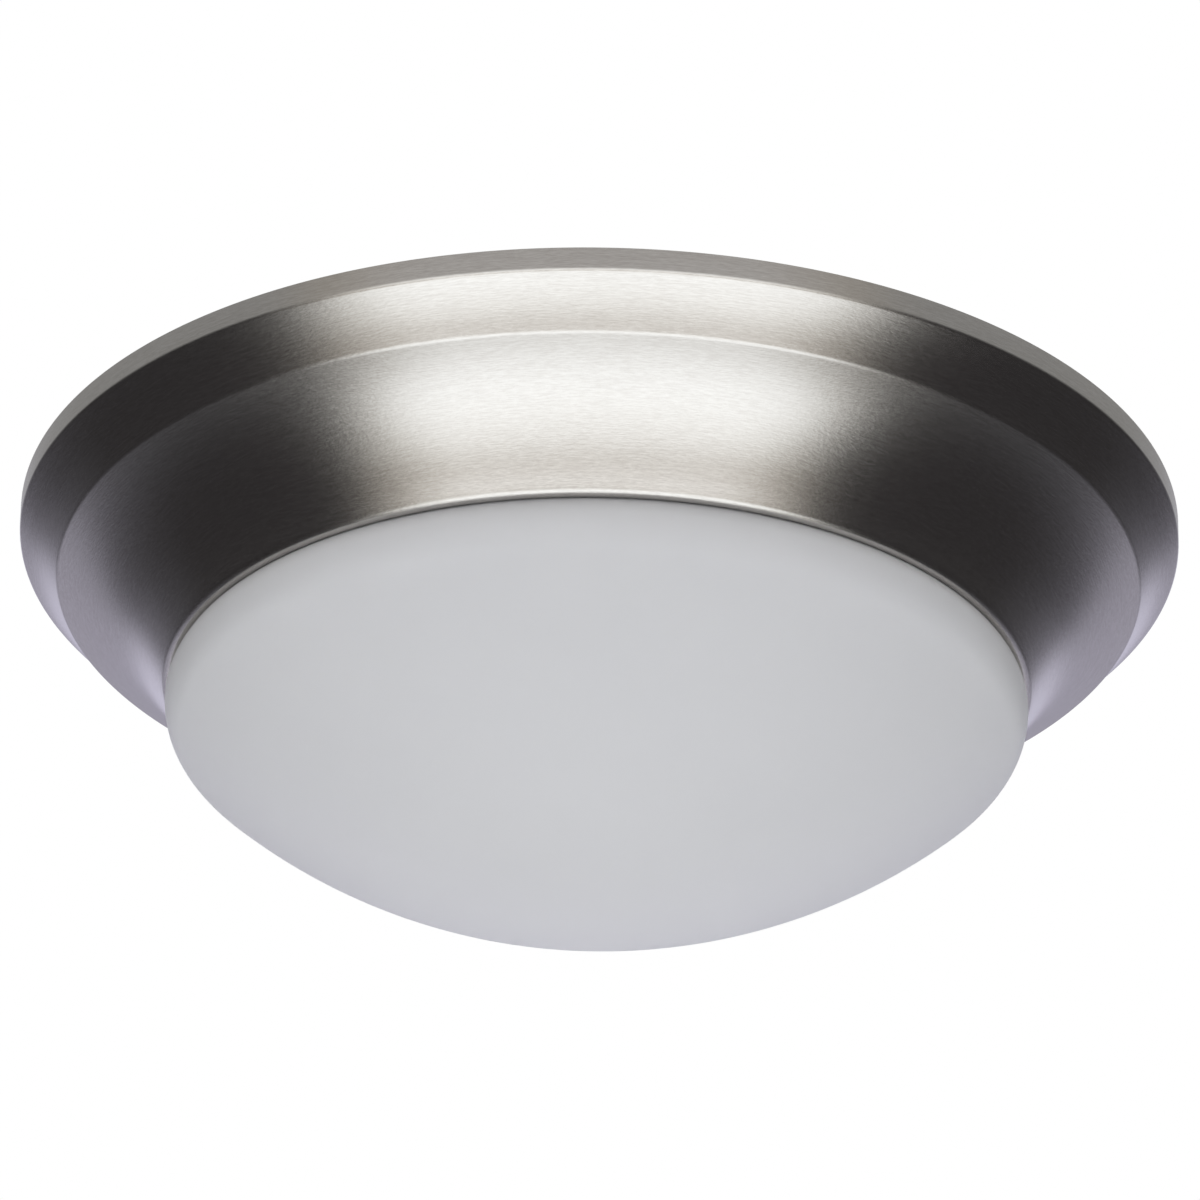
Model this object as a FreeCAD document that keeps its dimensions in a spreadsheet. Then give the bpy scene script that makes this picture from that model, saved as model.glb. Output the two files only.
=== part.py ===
import FreeCAD, Part
import math
import os
import Sketcher

# Flush mount ceiling light: a spun nickel pan, a white inner dish that carries two
# screw-base lamps, and an opal glass dome that hangs from three spring clips.
# The origin is the centre of the ceiling plane, +Z points up into the ceiling,
# and lengths are millimetres.

SIZES = {
    # pan: the spun shell, given by the centres and radii of its rounded corners
    "pan_radius": 178.0,
    "pan_sheet": 1.0,
    "rim_height": 8.1,
    "rim_corner": 1.6,
    "crease_inset": 14.0,
    "crease_drop": 19.0,
    "crease_bead": 3.0,
    "neck_radius": 130.2,
    "neck_drop": 52.9,
    "neck_bead": 2.9,
    "upper_cove": 62.0,
    "lower_cove": 77.0,
    "flange_height": 18.0,
    # glass dome
    "dome_gap": 0.4,
    "dome_overhang": 1.2,
    "dome_wall": 3.5,
    "dome_crown": 187.0,
    "dome_shoulder": 15.0,
    "dome_lip": 7.1,
    "dome_throat": 2.0,
    "dome_neck_height": 11.0,
    "lug_reach": 3.1,
    "lug_height": 3.6,
    "lug_span": 16.0,
    "gasket_width": 2.1,
    "gasket_height": 3.0,
    "gasket_fit": 0.3,
    # spring clips in the neck
    "clip_sheet": 0.8,
    "clip_span": 18.0,
    "clip_fit": 0.15,
    "clip_rise": 12.6,
    "ledge_reach": 3.2,
    "lug_rest": 0.3,
    # reflector dish
    "dish_drop": 20.0,
    "dish_sheet": 0.9,
    "dish_corner": 10.0,
    "nest_gap": 0.15,
    "skirt_lift": 3.0,
    "keyhole_mouth": 5.2,
    "keyhole_slot": 2.5,
    "keyhole_run": 11.0,
    # rivets
    "rivet_shank": 1.5,
    "rivet_head": 3.0,
    "rivet_dome": 1.3,
    "rivet_fit": 0.1,
    "rivet_seat": 0.05,
    "rivet_drop": 3.9,
    # crossbar and its screws
    "bar_length": 120.0,
    "bar_width": 22.0,
    "bar_sheet": 2.0,
    "bar_corner": 4.0,
    "bar_screw_inset": 6.0,
    "box_slot_inset": 20.3,
    "box_slot_length": 15.0,
    "box_slot_half_width": 2.4,
    "bar_centre_hole": 5.1,
    "screw_shank": 2.05,
    "screw_head": 4.2,
    "screw_head_height": 2.6,
    "screw_hole_fit": 0.1,
    "ground_screw_x": 19.0,
    "dish_ground_x": 30.0,
    "dish_ground_y": 26.0,
    "dish_screw_length": 5.0,
    "thread_end_gap": 0.3,
    "recess_reach": 2.2,
    "recess_half_width": 0.45,
    "recess_depth": 1.3,
    # insulation pad
    "pad_bar_gap": 4.0,
    "pad_rim_gap": 5.5,
    "pad_seat": 0.3,
    "pad_ceiling_gap": 0.8,
    # wiring
    "bushing_bore": 5.0,
    "bushing_wall": 1.6,
    "bushing_flange": 2.2,
    "bushing_flange_height": 1.4,
    "lead_radius": 1.3,
    "lead_grid": 2.1,
    "lead_run_drop": 6.4,
    "lead_bend": 6.0,
    "nut_length": 27.0,
    "nut_mouth": 6.4,
    "nut_tip": 3.6,
    "nut_bore": 3.75,
    "nut_bore_depth": 13.0,
    "nut_start": 17.0,
    "nut_level": 9.6,
    "ground_wire": 0.8,
    "ground_bend": 4.5,
    "ground_rise": 14.0,
    "eye_radius": 5.6,
    "eye_sheet": 0.8,
    "eye_head_gap": 0.25,
    "wire_lift": 0.1,
    "outer_sway": 14.0,
    "inner_sway": 6.0,
    "sway_place": 32.0,
    "sway_bend": 40.0,
    # sockets
    "socket_spacing": 70.0,
    "lamp_headroom": 5.6,
    "socket_back": 68.0,
    "socket_length": 40.0,
    "socket_barrel": 17.5,
    "socket_collar": 19.5,
    "socket_collar_length": 9.0,
    "socket_floor": 10.0,
    "shell_radius": 13.45,
    "shell_sheet": 0.4,
    "shell_seat": 0.15,
    "shell_length": 27.0,
    "shell_eye": 6.0,
    "contact_radius": 4.0,
    "contact_height": 1.6,
    "lead_hole_fit": 0.2,
    "lead_hole_depth": 6.0,
    "lead_hole_place": 5.0,
    "lead_half_spacing": 5.0,
    "bracket_sheet": 1.2,
    "bracket_width": 26.0,
    "bracket_foot": 22.0,
    "bracket_tail": 9.0,
    "bracket_rivet_half": 8.0,
    "bracket_rivet_place": 13.0,
    # lamps
    "cap_fit": 0.4,
    "cap_length": 22.5,
    "insulator_length": 3.2,
    "insulator_tip": 4.8,
    "tip_gap": 0.3,
    "housing_neck_gap": 0.4,
    "housing_neck_length": 4.0,
    "housing_length": 26.0,
    "housing_radius": 22.0,
    "globe_radius": 30.0,
    "globe_wall": 1.4,
}


class Size:
    """A length in the sheet: its number, and the formula that gives it."""

    def __init__(self, number, formula):
        self.number = number
        self.formula = formula

    def __float__(self):
        return float(self.number)

    def __neg__(self):
        return Size(-self.number, f"-({self.formula})")

    def __add__(self, other):
        other = as_size(other)
        return Size(self.number + other.number, f"({self.formula} + {other.formula})")

    def __radd__(self, other):
        return as_size(other) + self

    def __sub__(self, other):
        other = as_size(other)
        return Size(self.number - other.number, f"({self.formula} - {other.formula})")

    def __rsub__(self, other):
        return as_size(other) - self

    def __mul__(self, other):
        other = as_size(other)
        return Size(self.number * other.number, f"({self.formula} * {other.formula})")

    def __rmul__(self, other):
        return as_size(other) * self

    def __truediv__(self, other):
        other = as_size(other)
        return Size(self.number / other.number, f"({self.formula} / {other.formula})")

    def root(self):
        return Size(math.sqrt(self.number), f"sqrt({self.formula})")

    def sine(self):
        return Size(math.sin(math.radians(self.number)), f"sin({self.formula} * 1 deg)")

    def cosine(self):
        return Size(math.cos(math.radians(self.number)), f"cos({self.formula} * 1 deg)")


def as_size(value):
    return value if isinstance(value, Size) else Size(value, f"({value})")


def size(name):
    """A driving dimension, read from the sheet."""
    return Size(float(sheet.get(name)), f"sizes.{name}")


doc = FreeCAD.newDocument("ceiling_light")
sheet = doc.addObject("Spreadsheet::Sheet", "sizes")
for row, (alias, number) in enumerate(SIZES.items(), start=1):
    sheet.set(f"A{row}", alias)
    sheet.set(f"B{row}", str(number))
    sheet.setAlias(f"B{row}", alias)
doc.recompute()

FULL_TURN = 360.0
HALF_TURN = 180.0
UP = FreeCAD.Vector(0, 0, 1)
ORIGIN = FreeCAD.Vector(0, 0, 0)
sub_parts = []


def vector(x, y, z=0.0):
    return FreeCAD.Vector(float(x), float(y), float(z))


# ---------------------------------------------------------------- drawing helpers


def new_body(label):
    body = doc.addObject("PartDesign::Body", label)
    body.Label = label
    return body


def keep(item, label=None):
    """Marks a document object as one finished sub-part of the light."""
    if label:
        item.Label = label
    sub_parts.append(item)
    return item


def new_sketch(body, name, role="XZ_Plane"):
    sketch = body.newObject("Sketcher::SketchObject", name)
    plane = [item for item in body.Origin.OriginFeatures if item.Role == role][0]
    sketch.AttachmentSupport = (plane, [""])
    sketch.MapMode = "FlatFace"
    return sketch


def bind_constraint(sketch, kind, *terms):
    """Adds a dimension whose last term is a Size, and ties it to the sheet."""
    length = as_size(terms[-1])
    index = sketch.addConstraint(Sketcher.Constraint(kind, *terms[:-1], float(length)))
    sketch.setExpression(f"Constraints[{index}]", length.formula)


def pin(sketch, edge, end, x, y):
    """Holds one point of an edge at x, y."""
    for kind, value, axis in (("DistanceX", x, -2), ("DistanceY", y, -1)):
        if abs(float(value)) < 1e-9:
            sketch.addConstraint(Sketcher.Constraint("PointOnObject", edge, end, axis))
        else:
            bind_constraint(sketch, kind, edge, end, value)


def polygon(sketch, corners):
    """Draws a closed outline of straight edges with every corner held."""
    first = sketch.GeometryCount
    count = len(corners)
    for index, corner in enumerate(corners):
        following = corners[(index + 1) % count]
        sketch.addGeometry(Part.LineSegment(vector(*corner), vector(*following)))
    for index, corner in enumerate(corners):
        edge = first + index
        following = first + (index + 1) % count
        sketch.addConstraint(Sketcher.Constraint("Coincident", edge, 2, following, 1))
        pin(sketch, edge, 1, *corner)


def ring(sketch, x, y, radius):
    """Draws a circle with its centre and radius held."""
    edge = sketch.addGeometry(Part.Circle(vector(x, y), vector(0, 0, 1), float(radius)))
    pin(sketch, edge, 3, x, y)
    bind_constraint(sketch, "Radius", edge, radius)


def slot(sketch, x, y, half_width, half_run, upright=False):
    """Draws a round-ended slot about x, y; its run is along x unless upright."""
    reach_x, reach_y = (as_size(0), half_run) if upright else (half_run, as_size(0))
    side_x, side_y = (half_width, as_size(0)) if upright else (as_size(0), half_width)
    far = (x + reach_x, y + reach_y)
    near = (x - reach_x, y - reach_y)
    turn = math.pi / 2 if upright else 0.0
    axis = vector(0, 0, 1)
    far_circle = Part.Circle(vector(*far), axis, float(half_width))
    near_circle = Part.Circle(vector(*near), axis, float(half_width))
    quarter = math.pi / 2
    far_arc = sketch.addGeometry(Part.ArcOfCircle(far_circle, turn - quarter, turn + quarter))
    near_arc = sketch.addGeometry(
        Part.ArcOfCircle(near_circle, turn + quarter, turn + 3 * quarter))
    sign = -1 if upright else 1
    left = Part.LineSegment(
        vector(far[0] + sign * side_x, far[1] + side_y),
        vector(near[0] + sign * side_x, near[1] + side_y))
    right = Part.LineSegment(
        vector(near[0] - sign * side_x, near[1] - side_y),
        vector(far[0] - sign * side_x, far[1] - side_y))
    left = sketch.addGeometry(left)
    right = sketch.addGeometry(right)
    for edge_a, end_a, edge_b, end_b in (
            (far_arc, 2, left, 1), (left, 2, near_arc, 1),
            (near_arc, 2, right, 1), (right, 2, far_arc, 1)):
        sketch.addConstraint(Sketcher.Constraint("Tangent", edge_a, end_a, edge_b, end_b))
    pin(sketch, far_arc, 3, *far)
    pin(sketch, near_arc, 3, *near)
    bind_constraint(sketch, "Radius", far_arc, half_width)


def arc(centre, radius, start, end, clockwise=False):
    """An arc about centre from angle start to angle end, in radians."""
    circle = Part.Circle(vector(*centre), vector(0, 0, 1), float(radius))
    if clockwise:
        start, end = end, start
    return Part.ArcOfCircle(circle, start, end)


def angle_of(centre, point):
    return math.atan2(float(point[1]) - float(centre[1]), float(point[0]) - float(centre[0]))


def turned(body, sketch, angle=None):
    """Revolves a sketch about its own vertical axis."""
    feature = body.newObject("PartDesign::Revolution", sketch.Name + "_turned")
    feature.Profile = (sketch, [""])
    feature.ReferenceAxis = (sketch, ["V_Axis"])
    if angle is None:
        feature.Angle = FULL_TURN
    else:
        feature.Midplane = True
        feature.setExpression("Angle", angle.formula)
    sketch.Visibility = False
    return feature


def pad(body, sketch, length, reverse=False):
    feature = body.newObject("PartDesign::Pad", sketch.Name + "_pad")
    feature.Profile = (sketch, [""])
    feature.Reversed = reverse
    feature.setExpression("Length", length.formula)
    return feature


def cut_through(body, sketch):
    """Cuts a sketch through the whole body in both directions, and checks that it cut."""
    doc.recompute()
    before = body.Shape.Volume
    feature = body.newObject("PartDesign::Pocket", sketch.Name + "_cut")
    feature.Profile = (sketch, [""])
    feature.Type = "ThroughAll"
    feature.Midplane = True
    doc.recompute()
    if feature.Shape.Volume > before - 0.01:
        raise RuntimeError(f"{sketch.Name} cuts nothing from {body.Label}")
    return feature


def cut_turned(body, sketch):
    """Cuts a revolved sketch out of the body, and checks that it cut."""
    doc.recompute()
    before = body.Shape.Volume
    feature = body.newObject("PartDesign::Groove", sketch.Name + "_cut")
    feature.Profile = (sketch, [""])
    feature.ReferenceAxis = (sketch, ["V_Axis"])
    feature.Angle = FULL_TURN
    doc.recompute()
    if feature.Shape.Volume > before - 0.01:
        raise RuntimeError(f"{sketch.Name} cuts nothing from {body.Label}")
    return feature


def around_axis(body, sketch, feature, count):
    """Repeats a feature evenly about the sketch's vertical axis."""
    pattern = body.newObject("PartDesign::PolarPattern", feature.Name + "_pattern")
    pattern.Originals = [feature]
    pattern.Axis = (sketch, ["V_Axis"])
    pattern.Angle = FULL_TURN
    pattern.Occurrences = count
    body.Tip = pattern
    return pattern


def round_edges(body, feature, radius, chosen):
    """Fillets the edges of a feature for which chosen(edge) is true."""
    doc.recompute()
    names = [f"Edge{index}" for index, edge in enumerate(feature.Shape.Edges, start=1)
             if chosen(edge)]
    fillet = body.newObject("PartDesign::Fillet", feature.Name + "_rounded")
    fillet.Base = (feature, names)
    fillet.setExpression("Radius", radius.formula)
    body.Tip = fillet
    return fillet


def place(item, x, y, z, rotation=None):
    """Places a sub-part, with its position tied to the sheet."""
    item.Placement = FreeCAD.Placement(vector(x, y, z), rotation or FreeCAD.Rotation())
    for axis, value in (("x", x), ("y", y), ("z", z)):
        item.setExpression(f"Placement.Base.{axis}", as_size(value).formula)
    return item


def group(label, body, rotations):
    """One node of like pieces: the first, and copies of it turned about the Z axis."""
    body.Label = f"{label}_first"
    pieces = [body]
    for index, degrees in enumerate(rotations, start=2):
        copy = doc.addObject("App::Link", f"{label}_{index}")
        copy.LinkedObject = body
        copy.LinkTransform = True
        copy.Placement = FreeCAD.Placement(ORIGIN, FreeCAD.Rotation(UP, degrees))
        pieces.append(copy)
    compound = doc.addObject("Part::Compound", label)
    compound.Links = pieces
    return keep(compound, label)


# ---------------------------------------------------------------- shared places

ALONG_X = FreeCAD.Rotation(FreeCAD.Vector(0, 1, 0), 90)
ALONG_Y = FreeCAD.Rotation(FreeCAD.Vector(1, 0, 0), -90)
ABOUT_FACE = FreeCAD.Rotation(UP, HALF_TURN)
HEAD_UP = FreeCAD.Rotation(FreeCAD.Vector(1, 0, 0), HALF_TURN)
CLIP_COUNT = 3
CLIP_STEP = FULL_TURN / CLIP_COUNT
SIDES = {"a": 1, "b": -1}

pan_rim = size("pan_radius")
pan_sheet = size("pan_sheet")
neck_z = -size("neck_drop")
crease_x = pan_rim - size("crease_inset")
crease_z = -size("crease_drop")
flange_inner = size("neck_radius") - size("neck_bead")
flange_outer = flange_inner + pan_sheet
flange_top = neck_z + size("flange_height")
dish_wall_inner = flange_outer + size("nest_gap")
dish_wall_outer = dish_wall_inner + size("dish_sheet")
dish_top = -size("dish_drop")
dish_under = dish_top - size("dish_sheet")
rivet_z = flange_top - size("rivet_drop")
bar_end = size("bar_length") / 2
fixture_screw_x = bar_end - size("bar_screw_inset")
box_slot_x = bar_end - size("box_slot_inset")

dome_radius = size("neck_radius") + size("dome_overhang")
dome_lip_centre = dome_radius - size("dome_lip")
lip_to_bead = size("neck_bead") + size("dome_lip") + size("dome_gap")
lip_beside_bead = size("neck_radius") - dome_lip_centre
dome_widest_z = neck_z - (lip_to_bead * lip_to_bead - lip_beside_bead * lip_beside_bead).root()
dome_neck_outer = dome_lip_centre - size("dome_throat")
dome_neck_inner = dome_neck_outer - size("dome_wall")
dome_lip_top = dome_widest_z + size("dome_lip")
dome_neck_top = dome_lip_top + size("dome_neck_height")
lug_outer = dome_neck_outer + size("lug_reach")
lug_under = dome_neck_top - size("lug_height")

lamp_z = dish_under - size("lamp_headroom") - size("globe_radius")
lamp_y = size("socket_spacing") / 2


# ---------------------------------------------------------------- pan


def make_pan():
    """Spun shell: rim band, upper cove, crease, lower cove, rolled neck and inner flange."""
    body = new_body("pan")
    sketch = new_sketch(body, "pan_section")
    rim_centre = (pan_rim - size("rim_corner"), size("rim_corner") - size("rim_height"))
    crease = (crease_x, crease_z)
    neck = (size("neck_radius"), neck_z)
    upper = tangent_cove(rim_centre, size("rim_corner"), crease, size("crease_bead"),
                         size("upper_cove"))
    lower = tangent_cove(crease, size("crease_bead"), neck, size("neck_bead"),
                         size("lower_cove"))
    rounds = (
        (rim_centre, size("rim_corner"), 0.0, angle_of(rim_centre, upper), True, 1),
        (upper, size("upper_cove"), angle_of(upper, rim_centre), angle_of(upper, crease), False, -1),
        (crease, size("crease_bead"), angle_of(crease, upper), angle_of(crease, lower), True, 1),
        (lower, size("lower_cove"), angle_of(lower, crease), angle_of(lower, neck), False, -1),
        (neck, size("neck_bead"), angle_of(neck, lower), -math.pi, True, 1),
    )
    rim_inner = pan_rim - pan_sheet
    outer = [sketch.addGeometry(Part.LineSegment(vector(pan_rim, 0), vector(pan_rim, rim_centre[1])))]
    for centre, radius, start, end, clockwise, side in rounds:
        outer.append(sketch.addGeometry(arc(centre, radius, start, end, clockwise)))
    outer.append(sketch.addGeometry(
        Part.LineSegment(vector(flange_inner, neck_z), vector(flange_inner, flange_top))))
    inner = [sketch.addGeometry(
        Part.LineSegment(vector(rim_inner, 0), vector(rim_inner, rim_centre[1])))]
    for centre, radius, start, end, clockwise, side in rounds:
        inner_radius = radius - side * pan_sheet
        inner.append(sketch.addGeometry(arc(centre, inner_radius, start, end, clockwise)))
    inner.append(sketch.addGeometry(
        Part.LineSegment(vector(flange_outer, neck_z), vector(flange_outer, flange_top))))
    rim_cap = sketch.addGeometry(Part.LineSegment(vector(rim_inner, 0), vector(pan_rim, 0)))
    flange_cap = sketch.addGeometry(
        Part.LineSegment(vector(flange_inner, flange_top), vector(flange_outer, flange_top)))
    for chain, offset in ((outer, as_size(0)), (inner, pan_sheet)):
        # each arc is stored counterclockwise, so a clockwise one is met at its second end
        entries = [1] + [2 if item[4] else 1 for item in rounds] + [1]
        exits = [2] + [1 if item[4] else 2 for item in rounds] + [2]
        for index in range(len(chain) - 1):
            sketch.addConstraint(Sketcher.Constraint(
                "Tangent", chain[index], exits[index], chain[index + 1], entries[index + 1]))
        for index, (centre, radius, start, end, clockwise, side) in enumerate(rounds, start=1):
            bind_constraint(sketch, "Radius", chain[index], radius - side * offset)
            if side > 0:
                pin(sketch, chain[index], 3, *centre)
    for cap, end, edge, edge_end in ((rim_cap, 2, outer[0], 1), (rim_cap, 1, inner[0], 1),
                                     (flange_cap, 1, outer[-1], 2), (flange_cap, 2, inner[-1], 2)):
        sketch.addConstraint(Sketcher.Constraint("Coincident", cap, end, edge, edge_end))
    sketch.addConstraint(Sketcher.Constraint("PointOnObject", rim_cap, 2, -1))
    sketch.addConstraint(Sketcher.Constraint("PointOnObject", rim_cap, 1, -1))
    sketch.addConstraint(Sketcher.Constraint("Horizontal", flange_cap))
    bind_constraint(sketch, "DistanceY", flange_cap, 1, flange_top)
    shell = turned(body, sketch)
    body.Tip = shell
    drill_neck(body, "pan_rivet_holes", flange_outer)
    return keep(body)


def tangent_cove(first, first_radius, second, second_radius, cove_radius):
    """Centre of the hollow arc that touches two rounded corners from outside and below."""
    reach_a = float(cove_radius) + float(first_radius)
    reach_b = float(cove_radius) + float(second_radius)
    span_x = float(second[0]) - float(first[0])
    span_y = float(second[1]) - float(first[1])
    span = math.hypot(span_x, span_y)
    along = (reach_a ** 2 - reach_b ** 2 + span ** 2) / (2 * span)
    aside = math.sqrt(reach_a ** 2 - along ** 2)
    x = float(first[0]) + (along * span_x - aside * span_y) / span
    y = float(first[1]) + (along * span_y + aside * span_x) / span
    return (x, y)


def drill_neck(body, name, far_radius):
    """Six radial holes about the neck: three for the clip rivets, three for the neck rivets."""
    sketch = new_sketch(body, name, "YZ_Plane")
    ring(sketch, as_size(0), rivet_z, size("rivet_shank") + size("rivet_fit"))
    doc.recompute()
    before = body.Shape.Volume
    pocket = body.newObject("PartDesign::Pocket", name + "_cut")
    pocket.Profile = (sketch, [""])
    pocket.setExpression("Length", (far_radius + 6 * size("dish_sheet")).formula)
    pocket.Reversed = True
    doc.recompute()
    if pocket.Shape.Volume > before - 0.01:
        raise RuntimeError(f"{name} cuts nothing from {body.Label}")
    pattern = body.newObject("PartDesign::PolarPattern", name + "_pattern")
    pattern.Originals = [pocket]
    upright = [item for item in body.Origin.OriginFeatures if item.Role == "Z_Axis"][0]
    pattern.Axis = (upright, [""])
    pattern.Angle = FULL_TURN
    pattern.Occurrences = 2 * CLIP_COUNT
    body.Tip = pattern
    return pattern


def turned_piece(label, corners):
    """A body turned about its own Z axis from a straight-edged section."""
    body = new_body(label)
    sketch = new_sketch(body, f"{label}_section")
    polygon(sketch, corners)
    feature = turned(body, sketch)
    body.Tip = feature
    return body


# ---------------------------------------------------------------- glass dome


def make_dome():
    """Opal glass: crown, shoulder, rounded lip, throat and neck, with three moulded lugs."""
    body = new_body("dome_glass")
    sketch = new_sketch(body, "dome_section")
    wall = size("dome_wall")
    reach = size("dome_crown") - size("dome_shoulder")
    aside = dome_radius - size("dome_shoulder")
    crown = (as_size(0), dome_widest_z + (reach * reach - aside * aside).root())
    shoulder = (aside, dome_widest_z)
    lip = (dome_lip_centre, dome_widest_z)
    throat = (dome_lip_centre, dome_lip_top + size("dome_throat"))
    meeting = angle_of(crown, shoulder)
    quarter = math.pi / 2
    rounds = (
        (crown, size("dome_crown"), -quarter, meeting, False, 1),
        (shoulder, size("dome_shoulder"), meeting, 0.0, False, 1),
        (lip, size("dome_lip"), 0.0, quarter, False, 1),
        (throat, size("dome_throat"), -quarter, -math.pi, True, -1),
    )
    chains = []
    for offset, neck_radius in ((as_size(0), dome_neck_outer), (wall, dome_neck_inner)):
        chain = []
        for centre, radius, start, end, clockwise, side in rounds:
            curve = arc(centre, radius - side * offset, start, end, clockwise)
            chain.append(sketch.addGeometry(curve))
        chain.append(sketch.addGeometry(Part.LineSegment(
            vector(neck_radius, throat[1]), vector(neck_radius, dome_neck_top))))
        # the throat is stored counterclockwise, so the neck joins its first end
        for index, (exit_end, entry_end) in enumerate(((2, 1), (2, 1), (2, 2), (1, 1))):
            sketch.addConstraint(Sketcher.Constraint(
                "Tangent", chain[index], exit_end, chain[index + 1], entry_end))
        for index, (centre, radius, start, end, clockwise, side) in enumerate(rounds):
            bind_constraint(sketch, "Radius", chain[index], radius - side * offset)
        sketch.addConstraint(Sketcher.Constraint("PointOnObject", chain[0], 1, -2))
        sketch.addConstraint(Sketcher.Constraint("PointOnObject", chain[0], 3, -2))
        pin(sketch, chain[1], 3, *shoulder)
        bind_constraint(sketch, "DistanceY", chain[2], 3, dome_widest_z)
        pin(sketch, chain[4], 2, neck_radius, dome_neck_top)
        sketch.addConstraint(Sketcher.Constraint("Vertical", chain[4]))
        chains.append(chain)
    outer, inner = chains
    bottom = crown[1] - size("dome_crown")
    pole = sketch.addGeometry(Part.LineSegment(vector(0, bottom), vector(0, bottom + wall)))
    rim = sketch.addGeometry(Part.LineSegment(
        vector(dome_neck_outer, dome_neck_top), vector(dome_neck_inner, dome_neck_top)))
    for edge, end, other, other_end in ((pole, 1, outer[0], 1), (pole, 2, inner[0], 1),
                                        (rim, 1, outer[4], 2), (rim, 2, inner[4], 2)):
        sketch.addConstraint(Sketcher.Constraint("Coincident", edge, end, other, other_end))
    turned(body, sketch)
    lug_sketch = new_sketch(body, "lug_section")
    root = dome_neck_outer - wall / 2
    polygon(lug_sketch, ((root, lug_under), (lug_outer, lug_under),
                         (lug_outer, dome_neck_top), (root, dome_neck_top)))
    lug = turned(body, lug_sketch, size("lug_span"))
    doc.recompute()
    around_axis(body, lug_sketch, lug, CLIP_COUNT)
    return keep(body)


def make_gasket():
    """Foam ring that lies on the glass lip inside the pan's neck."""
    inner = dome_lip_centre + size("gasket_fit")
    outer = inner + size("gasket_width")
    low = dome_lip_top + size("gasket_fit")
    high = low + size("gasket_height")
    section = ((inner, low), (outer, low), (outer, high), (inner, high))
    return keep(turned_piece("rim_gasket", section))


# ---------------------------------------------------------------- neck fixings


def clip_places():
    leaf_outer = flange_inner - size("clip_fit")
    leaf_inner = leaf_outer - size("clip_sheet")
    ledge_top = lug_under - size("lug_rest")
    ledge_under = ledge_top - size("clip_sheet")
    return leaf_inner, leaf_outer, ledge_under, ledge_top


def make_lock_clips():
    """Three spring-steel clips: a leaf on the flange, a ledge under the lug and a stop."""
    leaf_inner, leaf_outer, ledge_under, ledge_top = clip_places()
    ledge_inner = leaf_inner - size("ledge_reach")
    clip_top = ledge_under + size("clip_rise")
    body = new_body("lock_clip")
    sketch = new_sketch(body, "clip_section")
    polygon(sketch, ((ledge_inner, ledge_under), (leaf_outer, ledge_under), (leaf_outer, clip_top),
                     (leaf_inner, clip_top), (leaf_inner, ledge_top), (ledge_inner, ledge_top)))
    turned(body, sketch, size("clip_span"))
    stop = new_sketch(body, "stop_plan", "XY_Plane")
    stop.setExpression("AttachmentOffset.Base.z", ledge_under.formula)
    half_span = size("clip_span") / 2
    thick = size("clip_sheet")
    near_x = (ledge_inner + thick / 2) * half_span.cosine()
    far_x = (leaf_inner - thick / 2) * half_span.cosine()
    near_y = ledge_inner * half_span.sine() - 2 * thick
    far_y = near_y + thick
    polygon(stop, ((near_x, near_y), (far_x, near_y), (far_x, far_y), (near_x, far_y)))
    pad(body, stop, size("clip_sheet") + size("lug_height"))
    hole = new_sketch(body, "clip_hole", "YZ_Plane")
    ring(hole, as_size(0), rivet_z, size("rivet_shank") + size("rivet_fit"))
    body.Tip = cut_through(body, hole)
    return group("lock_clips", body, (CLIP_STEP, 2 * CLIP_STEP))


def make_rivet(label, stack):
    """A round-head rivet along its own Z axis, whose head sits at z = 0 and below."""
    shank, head, dome = size("rivet_shank"), size("rivet_head"), size("rivet_dome")
    chamfer = dome / 2
    return turned_piece(label, (
        (as_size(0), -dome), (head - chamfer, -dome), (head, -chamfer), (head, as_size(0)),
        (shank, as_size(0)), (shank, stack), (head, stack), (head, stack + chamfer),
        (head - chamfer, stack + dome), (as_size(0), stack + dome)))


def make_neck_rivets():
    """Rivets through clip, flange and dish, and between them through flange and dish only."""
    leaf_inner = clip_places()[0]
    seat = size("rivet_seat")
    clip_rivet = make_rivet("clip_rivet", dish_wall_outer - leaf_inner + seat)
    place(clip_rivet, leaf_inner - seat, 0, rivet_z, ALONG_X)
    group("clip_rivets", clip_rivet, (CLIP_STEP, 2 * CLIP_STEP))
    neck_rivet = make_rivet("neck_rivet", dish_wall_outer - flange_inner + seat)
    turn_in = FreeCAD.Rotation(UP, HALF_TURN).multiply(ALONG_X)
    place(neck_rivet, seat - flange_inner, 0, rivet_z, turn_in)
    group("neck_rivets", neck_rivet, (CLIP_STEP, 2 * CLIP_STEP))


# ---------------------------------------------------------------- reflector dish


def keyhole_y(side):
    return side * size("keyhole_run")


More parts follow.
